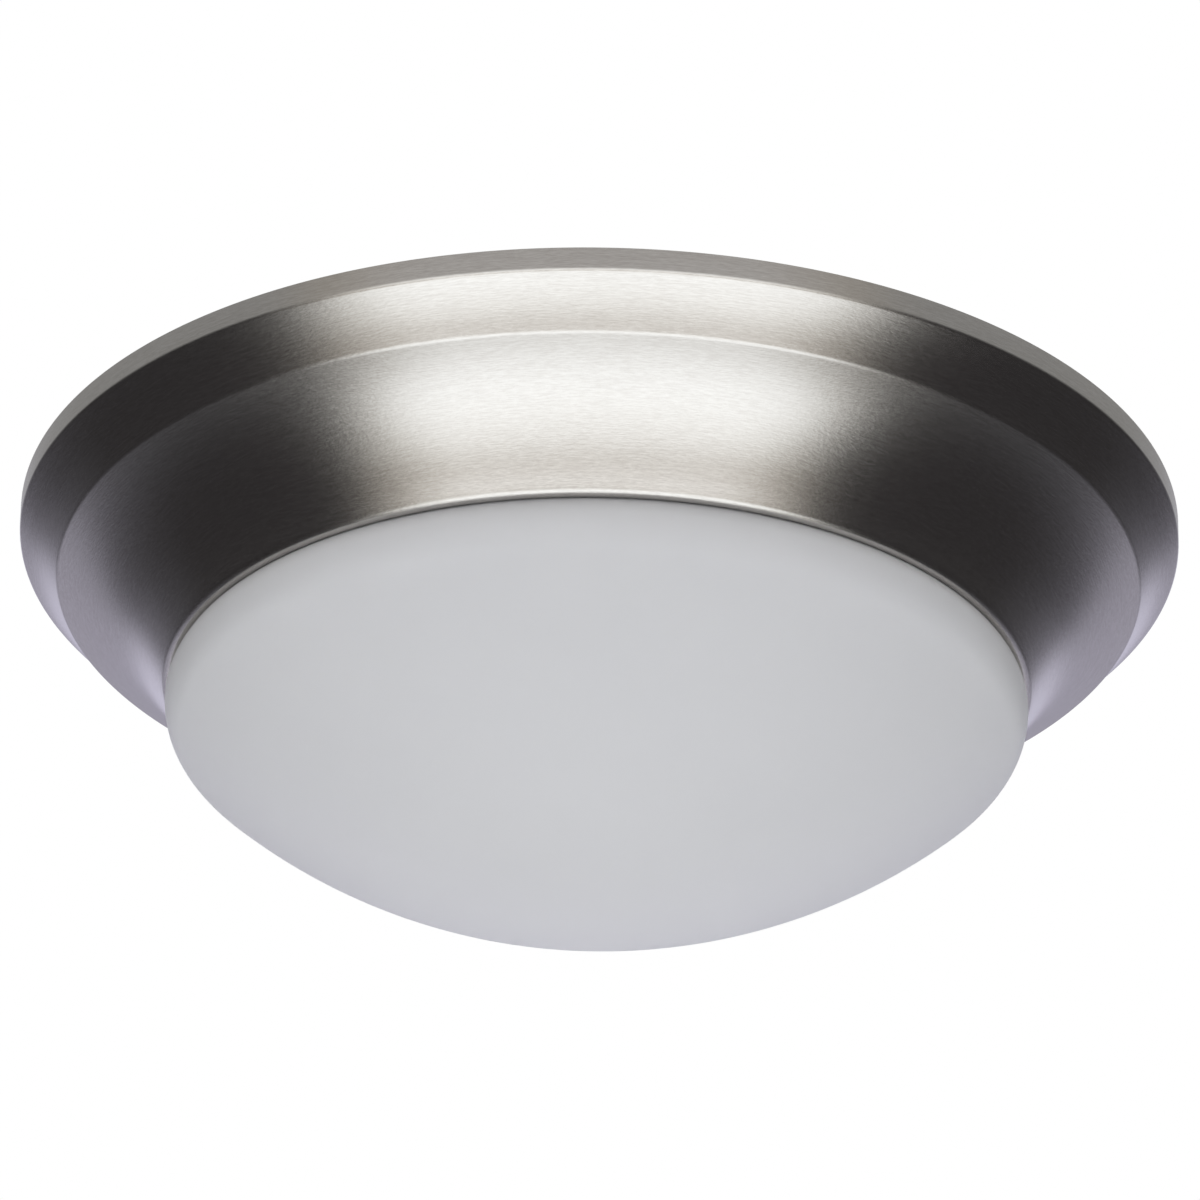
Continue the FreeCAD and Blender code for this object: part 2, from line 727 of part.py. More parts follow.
def make_dish():
    """White inner dish: flat top with its holes, rounded corner and a skirt round the flange."""
    body = turned_piece("reflector_dish", (
        (as_size(0), dish_top), (dish_wall_outer, dish_top),
        (dish_wall_outer, neck_z + size("skirt_lift")), (dish_wall_inner, neck_z + size("skirt_lift")),
        (dish_wall_inner, dish_under), (as_size(0), dish_under)))

    def corner_at(radius, level):
        def chosen(edge):
            centre = edge.BoundBox.Center
            wide = abs(edge.BoundBox.XLength / 2 - float(radius)) < 0.01
            return wide and abs(centre.z - float(level)) < 0.01 and edge.BoundBox.ZLength < 0.01
        return chosen

    outside = round_edges(body, body.Tip, size("dish_corner"), corner_at(dish_wall_outer, dish_top))
    round_edges(body, outside, size("dish_corner") - size("dish_sheet"),
                corner_at(dish_wall_inner, dish_under))
    drill_neck(body, "dish_rivet_holes", dish_wall_outer)
    holes = new_sketch(body, "dish_round_holes", "XY_Plane")
    bushing = size("bushing_bore") + size("bushing_wall") + size("rivet_fit")
    ring(holes, as_size(0), as_size(0), bushing)
    ring(holes, size("dish_ground_x"), size("dish_ground_y"), size("screw_shank") + size("screw_hole_fit"))
    for side in SIDES.values():
        ring(holes, side * fixture_screw_x, keyhole_y(side), size("keyhole_mouth"))
        for step in (-1, 1):
            ring(holes, -side * bracket_rivet_x(), side * lamp_y + step * size("bracket_rivet_half"),
                 size("rivet_shank") + size("rivet_fit"))
    cut_through(body, holes)
    slots = new_sketch(body, "dish_keyhole_slots", "XY_Plane")
    for side in SIDES.values():
        slot(slots, side * fixture_screw_x, keyhole_y(side) / 2, size("keyhole_slot"),
             size("keyhole_run") / 2, upright=True)
    body.Tip = cut_through(body, slots)
    return keep(body)


def bracket_rivet_x():
    return size("socket_back") + size("bracket_rivet_place")


# ---------------------------------------------------------------- crossbar and screws


def make_screw(label, shank, head, height, length):
    """A pan-head screw: head at z = 0 and below with a cross recess, shank up along Z."""
    chamfer = height / 2
    point = shank / 4
    body = turned_piece(label, (
        (as_size(0), -height), (head - chamfer, -height), (head, chamfer - height), (head, as_size(0)),
        (shank, as_size(0)), (shank, length - point), (shank - point, length), (as_size(0), length)))
    cross = new_sketch(body, f"{label}_recess", "XY_Plane")
    cross.setExpression("AttachmentOffset.Base.z", (-height).formula)
    reach, half = size("recess_reach"), size("recess_half_width")
    polygon(cross, ((half, half), (half, reach), (-half, reach), (-half, half), (-reach, half),
                    (-reach, -half), (-half, -half), (-half, -reach), (half, -reach), (half, -half),
                    (reach, -half), (reach, half)))
    doc.recompute()
    before = body.Shape.Volume
    recess = body.newObject("PartDesign::Pocket", f"{label}_recess_cut")
    recess.Profile = (cross, [""])
    recess.Reversed = True
    recess.setExpression("Length", size("recess_depth").formula)
    doc.recompute()
    if recess.Shape.Volume > before - 0.01:
        raise RuntimeError(f"the recess of {label} cuts nothing")
    body.Tip = recess
    return body


def make_crossbar():
    """Slotted strap: box slots, centre hole, two tapped screw holes and a ground hole."""
    body = new_body("crossbar")
    half_width = size("bar_width") / 2
    plan = new_sketch(body, "bar_plan", "XY_Plane")
    polygon(plan, ((-bar_end, -half_width), (bar_end, -half_width),
                   (bar_end, half_width), (-bar_end, half_width)))
    strap = pad(body, plan, size("bar_sheet"), reverse=True)

    def upright_edge(edge):
        box = edge.BoundBox
        return box.XLength < 0.01 and box.YLength < 0.01

    round_edges(body, strap, size("bar_corner"), upright_edge)
    holes = new_sketch(body, "bar_holes", "XY_Plane")
    tapped = size("screw_shank") + size("screw_hole_fit")
    ring(holes, as_size(0), as_size(0), size("bar_centre_hole"))
    ring(holes, size("ground_screw_x"), as_size(0), tapped)
    for side in SIDES.values():
        ring(holes, side * fixture_screw_x, as_size(0), tapped)
        slot(holes, side * box_slot_x, as_size(0), size("box_slot_half_width"),
             size("box_slot_length") / 2 - size("box_slot_half_width"))
    body.Tip = cut_through(body, holes)
    return keep(body)


def make_screws():
    shank, head, height = size("screw_shank"), size("screw_head"), size("screw_head_height")
    fixture = make_screw("fixture_screw", shank, head, height, -dish_under - size("thread_end_gap"))
    place(fixture, fixture_screw_x, 0, dish_under)
    group("fixture_screws", fixture, (HALF_TURN,))
    ground_seat = -size("bar_sheet") - size("eye_sheet")
    ground = make_screw("ground_screw", shank, head, height, -ground_seat - size("thread_end_gap"))
    keep(place(ground, size("ground_screw_x"), 0, ground_seat))
    dish_seat = dish_top + size("eye_sheet")
    dish_ground = make_screw("dish_ground_screw", shank, head, height, size("dish_screw_length"))
    keep(place(dish_ground, size("dish_ground_x"), size("dish_ground_y"), dish_seat, HEAD_UP))


# ---------------------------------------------------------------- wiring


def make_bushing():
    """Snap bushing that lines the wire hole of the dish."""
    bore = size("bushing_bore")
    waist = bore + size("bushing_wall")
    flange = waist + size("bushing_flange")
    high = dish_top + size("bushing_flange_height")
    low = dish_under - size("bushing_flange_height")
    return keep(turned_piece("wire_bushing", (
        (bore, low), (flange, low), (flange, dish_under), (waist, dish_under),
        (waist, dish_top), (flange, dish_top), (flange, high), (bore, high))))


def wire_path(points, bends):
    """Straight runs between points, joined by tangent arcs of the given radii."""
    corners = [FreeCAD.Vector(*(float(value) for value in point)) for point in points]
    edges = []
    start = corners[0]
    for index, bend in enumerate(bends, start=1):
        corner = corners[index]
        back = (corners[index - 1] - corner).normalize()
        ahead = (corners[index + 1] - corner).normalize()
        half_angle = back.getAngle(ahead) / 2
        setback = bend / math.tan(half_angle)
        entry = corner + back * setback
        leave = corner + ahead * setback
        bisector = (back + ahead).normalize()
        middle = corner + bisector * (bend / math.sin(half_angle) - bend)
        edges.append(Part.LineSegment(start, entry).toShape())
        edges.append(Part.Arc(entry, middle, leave).toShape())
        start = leave
    edges.append(Part.LineSegment(start, corners[-1]).toShape())
    return Part.Wire(edges)


def wire_solid(path, radius):
    """A round wire along a path, checked against its section times its length."""
    start = path.Edges[0]
    direction = start.tangentAt(start.FirstParameter)
    section = Part.Wire([Part.makeCircle(radius, start.valueAt(start.FirstParameter), direction)])
    solid = path.makePipeShell([section], True, False)
    expected = math.pi * radius ** 2 * path.Length
    if abs(solid.Volume - expected) > 0.01 * expected:
        raise RuntimeError("a wire's volume is not its section times its length")
    return solid


def make_leads():
    """Four insulated leads: socket, dish underside, bushing, then up into a wire nut."""
    run_z = dish_under - size("lead_run_drop")
    hole_x = size("socket_back") - size("lead_hole_place")
    socket_top = lamp_z + size("socket_barrel") - size("lead_hole_depth")
    nut_end = size("nut_start") + size("nut_bore_depth") - 2 * size("lead_radius")
    grid = size("lead_grid")
    half = size("lead_half_spacing")
    bend, gentle = float(size("lead_bend")), float(size("sway_bend"))
    for name, side in SIDES.items():
        for colour, step in (("black", 1), ("white", -1)):
            # the lead to the far hole of its socket swings wider than the one to the near hole
            sway = size("outer_sway") if step == side else size("inner_sway")
            grid_x, grid_y = -side * grid, step * grid
            sway_y = grid_y + side * sway
            hole_y = side * lamp_y + step * half
            points = (
                (grid_x, step * nut_end, -size("nut_level")),
                (grid_x, grid_y, -size("nut_level")),
                (grid_x, grid_y, run_z),
                (-side * size("sway_place"), sway_y, run_z),
                (-side * hole_x, hole_y, run_z),
                (-side * hole_x, hole_y, socket_top),
            )
            path = wire_path(points, (bend, bend, gentle, bend))
            lead = doc.addObject("Part::Feature", f"lead_{colour}_{name}")
            lead.Shape = wire_solid(path, float(size("lead_radius")))
            keep(lead)
            print(f"lead_{colour}_{name}: {path.Length:.1f} mm, bends {bend}, {bend}, {gentle}, {bend}")


def make_wire_nuts():
    """Tapered plastic caps that hold the joined ends of the leads."""
    bore, mouth, tip = size("nut_bore"), size("nut_mouth"), size("nut_tip")
    length, depth = size("nut_length"), size("nut_bore_depth")
    for colour, step in (("black", 1), ("white", -1)):
        nut = turned_piece(f"wire_nut_{colour}", (
            (bore, as_size(0)), (mouth, as_size(0)), (mouth, length / 3), (tip + 1, length - 1),
            (tip, length), (as_size(0), length), (as_size(0), depth), (bore, depth)))
        turn = ALONG_Y if step > 0 else ABOUT_FACE.multiply(ALONG_Y)
        keep(place(nut, 0, step * size("nut_start"), -size("nut_level"), turn))


def make_ground_lead():
    """Bare copper lead with an eye at each end, from the crossbar to the dish."""
    radius, lift = float(size("ground_wire")), float(size("wire_lift"))
    eye_radius, eye_thick = float(size("eye_radius")), float(size("eye_sheet"))
    bar_x = float(size("ground_screw_x"))
    dish_x, dish_y = float(size("dish_ground_x")), float(size("dish_ground_y"))
    bar_under, top = -float(size("bar_sheet")), float(dish_top)
    hole = float(size("screw_shank") + size("screw_hole_fit"))
    # the wire stops beside the screw's head, on the rim of the eye
    head_side = float(size("screw_head") + size("eye_head_gap"))
    bar_z = bar_under - lift - radius
    dish_z = top + lift + radius
    turn_y = float(size("ground_rise"))
    points = ((bar_x, head_side, bar_z), (bar_x, turn_y, bar_z), (dish_x, turn_y, dish_z),
              (dish_x, dish_y - head_side, dish_z))
    bend = float(size("ground_bend"))
    path = wire_path(points, (bend, bend))
    solid = wire_solid(path, radius)
    for x, y, low in ((bar_x, 0.0, bar_under - eye_thick), (dish_x, dish_y, top)):
        eye = Part.makeCylinder(eye_radius, eye_thick, FreeCAD.Vector(x, y, low))
        eye = eye.cut(Part.makeCylinder(hole, eye_thick, FreeCAD.Vector(x, y, low)))
        solid = solid.fuse(eye)
    lead = doc.addObject("Part::Feature", "ground_lead")
    lead.Shape = solid.removeSplitter()
    print(f"ground_lead: {path.Length:.1f} mm, bends {bend}, {bend}")
    return keep(lead)


# ---------------------------------------------------------------- insulation pad


def make_insulation():
    """Glass-fibre ring between the dish and the ceiling, with the wiring space in its middle."""
    low = dish_top + size("rivet_dome") + size("pad_seat")
    high = -size("pad_ceiling_gap")
    inner = bar_end + size("pad_bar_gap")
    outer = crease_x + size("crease_bead") - size("pad_rim_gap")
    section = ((inner, low), (outer, low), (outer, high), (inner, high))
    return keep(turned_piece("insulation_pad", section))


# ---------------------------------------------------------------- sockets and lamps


def beside_axis(item, side, back):
    """Places a piece drawn along Z so that it points along X from its socket's back."""
    turn = ALONG_X if side > 0 else ABOUT_FACE.multiply(ALONG_X)
    return place(item, -side * back, side * lamp_y, lamp_z, turn)


def make_bracket(name, side):
    """Bent steel bracket: foot on the dish, upright behind the socket."""
    body = new_body(f"socket_bracket_{name}")
    thick = size("bracket_sheet")
    foot = size("bracket_foot")
    drop = dish_under - lamp_z + size("bracket_tail")
    side_view = new_sketch(body, f"bracket_{name}_side")
    zero = as_size(0)
    polygon(side_view, ((zero, zero), (zero, -drop), (-thick, -drop), (-thick, -thick),
                        (-foot, -thick), (-foot, zero)))
    plate = pad(body, side_view, size("bracket_width"))
    plate.Midplane = True
    doc.recompute()

    def bend_edge(edge):
        box = edge.BoundBox
        along_y = box.XLength < 0.01 and box.ZLength < 0.01
        return along_y and abs(box.XMin) < 0.01 and abs(box.ZMax) < 0.01

    round_edges(body, plate, thick, bend_edge)
    screw_hole = new_sketch(body, f"bracket_{name}_screw_hole", "YZ_Plane")
    ring(screw_hole, zero, lamp_z - dish_under, size("screw_shank") + size("screw_hole_fit"))
    cut_through(body, screw_hole)
    foot_holes = new_sketch(body, f"bracket_{name}_foot_holes", "XY_Plane")
    for step in (-1, 1):
        ring(foot_holes, -size("bracket_rivet_place"), step * size("bracket_rivet_half"),
             size("rivet_shank") + size("rivet_fit"))
    body.Tip = cut_through(body, foot_holes)
    turn = FreeCAD.Rotation() if side > 0 else ABOUT_FACE
    return keep(place(body, -side * size("socket_back"), side * lamp_y, dish_under, turn))


def make_bracket_rivets():
    """Four rivets, two through each bracket's foot and the dish."""
    stack = size("bracket_sheet") + size("dish_sheet")
    copies = []
    for side in SIDES.values():
        for step in (-1, 1):
            rivet = make_rivet("bracket_rivet", stack)
            place(rivet, -side * bracket_rivet_x(),
                  side * lamp_y + step * size("bracket_rivet_half"), dish_under - size("bracket_sheet"))
            copies.append(rivet)
    compound = doc.addObject("Part::Compound", "bracket_rivets")
    compound.Links = copies
    return keep(compound, "bracket_rivets")


def make_socket_screws():
    """One screw through each bracket into the back of its socket."""
    length = size("bracket_sheet") + size("socket_floor") * 0.6
    screw = make_screw("socket_screw", size("screw_shank"), size("screw_head"),
                       size("screw_head_height"), length)
    beside_axis(screw, 1, size("socket_back") + size("bracket_sheet"))
    return group("socket_screws", screw, (HALF_TURN,))


def make_socket(name, side):
    """Moulded socket body, its screw shell and its centre contact."""
    back = size("socket_back")
    barrel, collar = size("socket_barrel"), size("socket_collar")
    length, floor = size("socket_length"), size("socket_floor")
    shell_inner = size("shell_radius")
    shell_outer = shell_inner + size("shell_sheet")
    bore = shell_outer + size("shell_seat")
    step = length - size("socket_collar_length")
    zero = as_size(0)
    body = turned_piece(f"socket_body_{name}", (
        (zero, zero), (barrel, zero), (barrel, step), (collar, step), (collar, length),
        (bore, length), (bore, floor), (zero, floor)))
    screw_hole = new_sketch(body, f"socket_{name}_screw_hole")
    hole = size("screw_shank") + size("screw_hole_fit")
    depth = floor * 0.6 + size("thread_end_gap")
    polygon(screw_hole, ((zero, zero), (hole, zero), (hole, depth), (zero, depth)))
    cut_turned(body, screw_hole)
    lead_holes = new_sketch(body, f"socket_{name}_lead_holes", "YZ_Plane")
    inset = size("lead_hole_depth") - size("socket_barrel")
    lead_holes.setExpression("AttachmentOffset.Base.z", inset.formula)
    for step_y in (-1, 1):
        ring(lead_holes, step_y * size("lead_half_spacing"), size("lead_hole_place"),
             size("lead_radius") + size("lead_hole_fit"))
    doc.recompute()
    before = body.Shape.Volume
    pocket = body.newObject("PartDesign::Pocket", f"socket_{name}_lead_holes_cut")
    pocket.Profile = (lead_holes, [""])
    pocket.Type = "ThroughAll"
    doc.recompute()
    if pocket.Shape.Volume > before - 0.01:
        raise RuntimeError(f"the lead holes of socket {name} cut nothing")
    body.Tip = pocket
    keep(beside_axis(body, side, back))
    sheet_thickness = size("shell_sheet")
    eye = size("shell_eye")
    shell_end = floor + size("shell_length")
    shell = turned_piece(f"socket_shell_{name}", (
        (eye, floor), (shell_outer, floor), (shell_outer, shell_end), (shell_inner, shell_end),
        (shell_inner, floor + sheet_thickness), (eye, floor + sheet_thickness)))
    keep(beside_axis(shell, side, back))
    contact_end = floor + size("contact_height")
    contact = turned_piece(f"socket_contact_{name}", (
        (zero, floor), (size("contact_radius"), floor), (size("contact_radius"), contact_end),
        (zero, contact_end)))
    keep(beside_axis(contact, side, back))


def make_lamp(name, side):
    """Screw-base lamp: contact and insulator, cap, housing and a hollow diffusing globe."""
    back = size("socket_back")
    zero = as_size(0)
    cap = size("shell_radius") - size("cap_fit")
    tip_start = size("socket_floor") + size("contact_height") + size("tip_gap")
    cap_start = tip_start + size("insulator_length")
    cap_end = cap_start + size("cap_length")
    contact = turned_piece(f"lamp_{name}_contact", (
        (zero, tip_start), (size("insulator_tip"), tip_start), (cap - 1, cap_start), (zero, cap_start)))
    keep(beside_axis(contact, side, back))
    screw_cap = turned_piece(f"lamp_{name}_cap", (
        (zero, cap_start), (cap - 1, cap_start), (cap, cap_start + 1), (cap, cap_end), (zero, cap_end)))
    keep(beside_axis(screw_cap, side, back))
    neck = size("shell_radius") + size("shell_sheet") + size("shell_seat") - size("housing_neck_gap")
    flare = cap_end + size("housing_neck_length")
    housing_end = cap_end + size("housing_length")
    wide = size("housing_radius")
    housing = turned_piece(f"lamp_{name}_housing", (
        (zero, cap_end), (neck, cap_end), (neck, flare),
        (wide, housing_end), (zero, housing_end)))
    keep(beside_axis(housing, side, back))
    keep(beside_axis(make_globe(name, wide, housing_end), side, back))


def make_globe(name, wide, start):
    """The lamp's globe: a hollow ball cut off where it meets the housing."""
    body = new_body(f"lamp_{name}_globe")
    sketch = new_sketch(body, f"globe_{name}_section")
    outer_radius = size("globe_radius")
    inner_radius = outer_radius - size("globe_wall")
    centre_z = start + (outer_radius * outer_radius - wide * wide).root()
    centre = (as_size(0), centre_z)
    inner_wide = (inner_radius * inner_radius - (centre_z - start) * (centre_z - start)).root()
    quarter = math.pi / 2
    outer = sketch.addGeometry(arc(centre, outer_radius, angle_of(centre, (wide, start)), quarter))
    inner = sketch.addGeometry(arc(centre, inner_radius, angle_of(centre, (inner_wide, start)), quarter))
    base = sketch.addGeometry(Part.LineSegment(vector(wide, start), vector(inner_wide, start)))
    pole = sketch.addGeometry(Part.LineSegment(
        vector(0, centre_z + outer_radius), vector(0, centre_z + inner_radius)))
    for edge, end, other, other_end in ((base, 1, outer, 1), (base, 2, inner, 1),
                                        (pole, 1, outer, 2), (pole, 2, inner, 2)):
        sketch.addConstraint(Sketcher.Constraint("Coincident", edge, end, other, other_end))
    for edge, radius in ((outer, outer_radius), (inner, inner_radius)):
        bind_constraint(sketch, "Radius", edge, radius)
        pin(sketch, edge, 3, *centre)
        sketch.addConstraint(Sketcher.Constraint("PointOnObject", edge, 2, -2))
    bind_constraint(sketch, "DistanceY", outer, 1, start)
    bind_constraint(sketch, "DistanceY", inner, 1, start)
    body.Tip = turned(body, sketch)
    return body


# ---------------------------------------------------------------- the whole light


def check_and_write():
    """Stops if any object failed, then writes one file for each sub-part."""
    doc.recompute()
    for item in doc.Objects:
        if "Invalid" in item.State or "Error" in item.State:
            raise RuntimeError(f"{item.Name} did not build: {item.State}")
    os.makedirs("parts", exist_ok=True)
    for item in sub_parts:
        shape = item.Shape
        if shape.isNull() or not shape.isValid() or not shape.Solids:
            raise RuntimeError(f"{item.Label} has no valid solid")
    for item in sub_parts:
        item.Shape.exportStep(f"parts/{item.Label}.step")
    print(f"{len(sub_parts)} sub-parts written")


make_pan()
make_dome()
make_gasket()
make_lock_clips()
make_neck_rivets()
make_dish()
make_crossbar()
make_screws()
make_bushing()
make_leads()
make_wire_nuts()
make_ground_lead()
make_insulation()
for letter, direction in SIDES.items():
    make_bracket(letter, direction)
    make_socket(letter, direction)
    make_lamp(letter, direction)
make_bracket_rivets()
make_socket_screws()
check_and_write()
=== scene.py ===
import math

import bmesh
import bpy
from mathutils import Matrix, Vector


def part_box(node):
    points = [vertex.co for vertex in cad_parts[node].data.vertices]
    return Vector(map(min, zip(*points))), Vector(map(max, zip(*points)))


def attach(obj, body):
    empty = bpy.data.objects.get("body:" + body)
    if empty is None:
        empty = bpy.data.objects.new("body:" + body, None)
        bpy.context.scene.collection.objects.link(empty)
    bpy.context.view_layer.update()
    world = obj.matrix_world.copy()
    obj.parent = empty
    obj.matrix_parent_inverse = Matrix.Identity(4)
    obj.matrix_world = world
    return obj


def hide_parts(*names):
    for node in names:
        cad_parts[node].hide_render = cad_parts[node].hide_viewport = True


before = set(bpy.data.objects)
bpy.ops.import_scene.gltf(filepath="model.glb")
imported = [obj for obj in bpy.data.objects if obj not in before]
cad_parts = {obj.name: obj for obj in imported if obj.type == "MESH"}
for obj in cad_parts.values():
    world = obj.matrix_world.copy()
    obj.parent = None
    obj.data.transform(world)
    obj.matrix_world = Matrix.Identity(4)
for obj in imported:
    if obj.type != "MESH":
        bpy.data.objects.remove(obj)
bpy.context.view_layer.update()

# ---------------------------------------------------------------- studio
# The light hangs from a ceiling that isn't drawn and is seen from in front and below.
# Soft lamps light its glass, and its metal mirrors a room with a bright front, dark
# sides and a white sweep behind.


class Signal:
    """A number or colour on its way through a material; arithmetic adds Math nodes."""

    def __init__(self, finish, socket):
        self.finish = finish
        self.socket = socket

    def out(self, name):
        return Signal(self.finish, self.socket.node.outputs[name])

    def maths(self, operation, *values):
        return self.finish.maths(operation, *values)

    def __add__(self, other):
        return self.maths("ADD", self, other)

    def __radd__(self, other):
        return self.maths("ADD", other, self)

    def __sub__(self, other):
        return self.maths("SUBTRACT", self, other)

    def __rsub__(self, other):
        return self.maths("SUBTRACT", other, self)

    def __mul__(self, other):
        return self.maths("MULTIPLY", self, other)

    def __rmul__(self, other):
        return self.maths("MULTIPLY", other, self)

    def __truediv__(self, other):
        return self.maths("DIVIDE", self, other)

    def __pow__(self, other):
        return self.maths("POWER", self, other)

    def step(self, low, high):
        """Rises smoothly from 0 to 1 as the number goes from low to high."""
        settings = {"interpolation_type": "SMOOTHSTEP"}
        return self.finish.node("ShaderNodeMapRange", settings,
                                {"Value": self, "From Min": low, "From Max": high})


class Finish:
    """The node tree of one material, or of the room's light."""

    def __init__(self, name, owner=None):
        self.owner = owner or bpy.data.materials.new(name)
        self.owner.use_nodes = True
        self.tree = self.owner.node_tree
        self.tree.nodes.clear()

    def node(self, kind, settings, inputs):
        """Adds a node: its settings first, then the values or links of its sockets.

        Colours are written as red, green and blue.
        """
        made = self.tree.nodes.new(kind)
        for name, value in settings.items():
            if name == "stops":
                ramp = made.color_ramp.elements
                while len(ramp) < len(value):
                    ramp.new(0.5)
                for element, (place, colour) in zip(ramp, value):
                    element.position = place
                    element.color = (*colour, 1.0)
            else:
                setattr(made, name, value)
        for name, value in inputs.items():
            socket = made.inputs[name]
            if isinstance(value, Signal):
                self.tree.links.new(value.socket, socket)
            elif socket.type == "RGBA":
                socket.default_value = (*value, 1.0)
            else:
                socket.default_value = value
        return Signal(self, next((socket for socket in made.outputs if socket.enabled), None))

    def maths(self, operation, *values):
        return self.node("ShaderNodeMath", {"operation": operation}, dict(enumerate(values)))

    def blend(self, factor, first, second, how="MIX"):
        """Mixes two colours."""
        return self.node("ShaderNodeMix", {"data_type": "RGBA", "blend_type": how},
                         {0: factor, 6: first, 7: second})

    def ramp(self, factor, *stops):
        """Blends from colour to colour, each at its own value of a factor from 0 to 1."""
        return self.node("ShaderNodeValToRGB", {"stops": stops}, {"Fac": factor})

    def place(self, scale=(1.0, 1.0, 1.0)):
        """Object coordinates, scaled along each axis."""
        here = self.node("ShaderNodeTexCoord", {}, {}).out("Object")
        return self.node("ShaderNodeMapping", {}, {"Vector": here, "Scale": scale})

    def noise(self, vector, scale, detail, roughness=0.5):
        return self.node("ShaderNodeTexNoise", {}, {
            "Vector": vector, "Scale": scale, "Detail": detail, "Roughness": roughness})

    def bump(self, height, distance, strength):
        return self.node("ShaderNodeBump", {}, {
            "Height": height, "Distance": distance, "Strength": strength})

    def surface(self, **inputs):
        """The shader itself, each socket named by its words joined with underscores."""
        sockets = {name.replace("_", " "): value for name, value in inputs.items()}
        shader = self.node("ShaderNodeBsdfPrincipled", {}, sockets)
        self.node("ShaderNodeOutputMaterial", {}, {"Surface": shader})
        return self.owner


stage = bpy.context.scene
stage.view_settings.view_transform = "Standard"
stage.view_settings.look = "None"

# The camera stands 2.5 m off and looks up at the light, 28 degrees from the level.
camera_far = 2.492
camera_drop = math.radians(27.88)
camera_roll = math.radians(0.93)
camera_data = bpy.data.cameras.new("camera")
camera_data.sensor_width = 36.0
camera_data.lens = 242.6
camera_data.clip_start = 0.05
camera_data.shift_x = 0.0006
camera_data.shift_y = -0.0535
camera = bpy.data.objects.new("camera", camera_data)
camera.location = (0.0, -camera_far * math.cos(camera_drop), -camera_far * math.sin(camera_drop))
camera.rotation_mode = "ZYX"
camera.rotation_euler = (math.pi / 2 + camera_drop, 0.0, camera_roll)
stage.collection.objects.link(camera)
stage.camera = camera

# The floor lies far below and glows a little. Neither metal nor glass takes light from it.
floor_reach = 30.0
floor_depth = 4.2
floor_mesh = bmesh.new()
bmesh.ops.create_grid(floor_mesh, x_segments=1, y_segments=1, size=floor_reach)
bmesh.ops.translate(floor_mesh, verts=floor_mesh.verts, vec=(0.0, 0.0, -floor_depth))
floor_data = bpy.data.meshes.new("floor")
floor_mesh.to_mesh(floor_data)
floor_mesh.free()
floor_data.materials.append(Finish("pale_floor").surface(
    Base_Color=(0.86, 0.86, 0.86), Roughness=0.7,
    Emission_Color=(1.0, 1.0, 1.0), Emission_Strength=0.5))
floor = bpy.data.objects.new("floor", floor_data)
floor.visible_glossy = False
floor.visible_diffuse = False
stage.collection.objects.link(floor)

# The room's light is written for the surface that mirrors it to the camera: how far
# that surface faces aside from the camera, and how far it faces down, in degrees.
room = bpy.data.worlds.new("studio")
stage.world = room
light = Finish("studio", room)
towards = light.node("ShaderNodeSeparateXYZ", {}, {
    "Vector": light.node("ShaderNodeTexCoord", {}, {}).out("Generated")})
ahead = math.cos(camera_drop) - towards.out("Y")
lean = math.sin(camera_drop) - towards.out("Z")
along_level = (towards.out("X") ** 2.0 + ahead ** 2.0) ** 0.5
to_degrees = 180.0 / math.pi
aside = light.maths("ARCTAN2", towards.out("X"), ahead) * to_degrees
droop = light.maths("ARCTAN2", lean, along_level) * to_degrees

# The bright front shows between these borders, in degrees aside, and fades out from
# "in" to "out". It is wider where the surface faces about 50 degrees down.
waist = droop.step(35.0, 48.0) * (1.0 - droop.step(50.0, 61.0))
left_in = -16.5 - 5.5 * waist
left_out = -35.0 + 1.2 * waist
right_in = 14.5 + 8.0 * waist
right_out = 32.0 + 4.0 * droop.step(42.0, 58.0)
left_fade = ((aside - left_out) / (left_in - left_out)).step(0.0, 1.0)
right_fade = ((right_out - aside) / (right_out - right_in)).step(0.0, 1.0)
window = left_fade * right_fade

# The front and the dark sides change in bands from a surface that faces ahead, at 0, to
# one that faces straight down, at 1. The light is warmer where the front fades out.
fall = droop / 90.0
front = light.ramp(
    fall, (0.0, (0.44, 0.43, 0.425)), (0.27, (1.36, 1.38, 1.39)), (0.315, (1.36, 1.36, 1.36)),
    (0.345, (0.76, 0.72, 0.68)), (0.375, (0.79, 0.755, 0.71)), (0.415, (1.38, 1.4, 1.4)),
    (0.54, (1.57, 1.62, 1.66)), (0.61, (1.42, 1.46, 1.49)), (0.67, (1.1, 1.12, 1.13)))
flank = light.ramp(
    fall, (0.0, (0.34, 0.34, 0.34)), (0.14, (0.14, 0.14, 0.14)), (0.28, (0.036, 0.034, 0.036)),
    (0.55, (0.036, 0.034, 0.036)), (0.7, (0.06, 0.06, 0.065)), (0.9, (0.3, 0.3, 0.31)))
warmth = light.ramp(
    window, (0.0, (1.0, 1.0, 1.0)), (0.3, (1.05, 1.0, 0.92)), (1.0, (1.0, 1.0, 1.0)))
ahead_light = light.blend(1.0, light.blend(window, flank, front), warmth, "MULTIPLY")

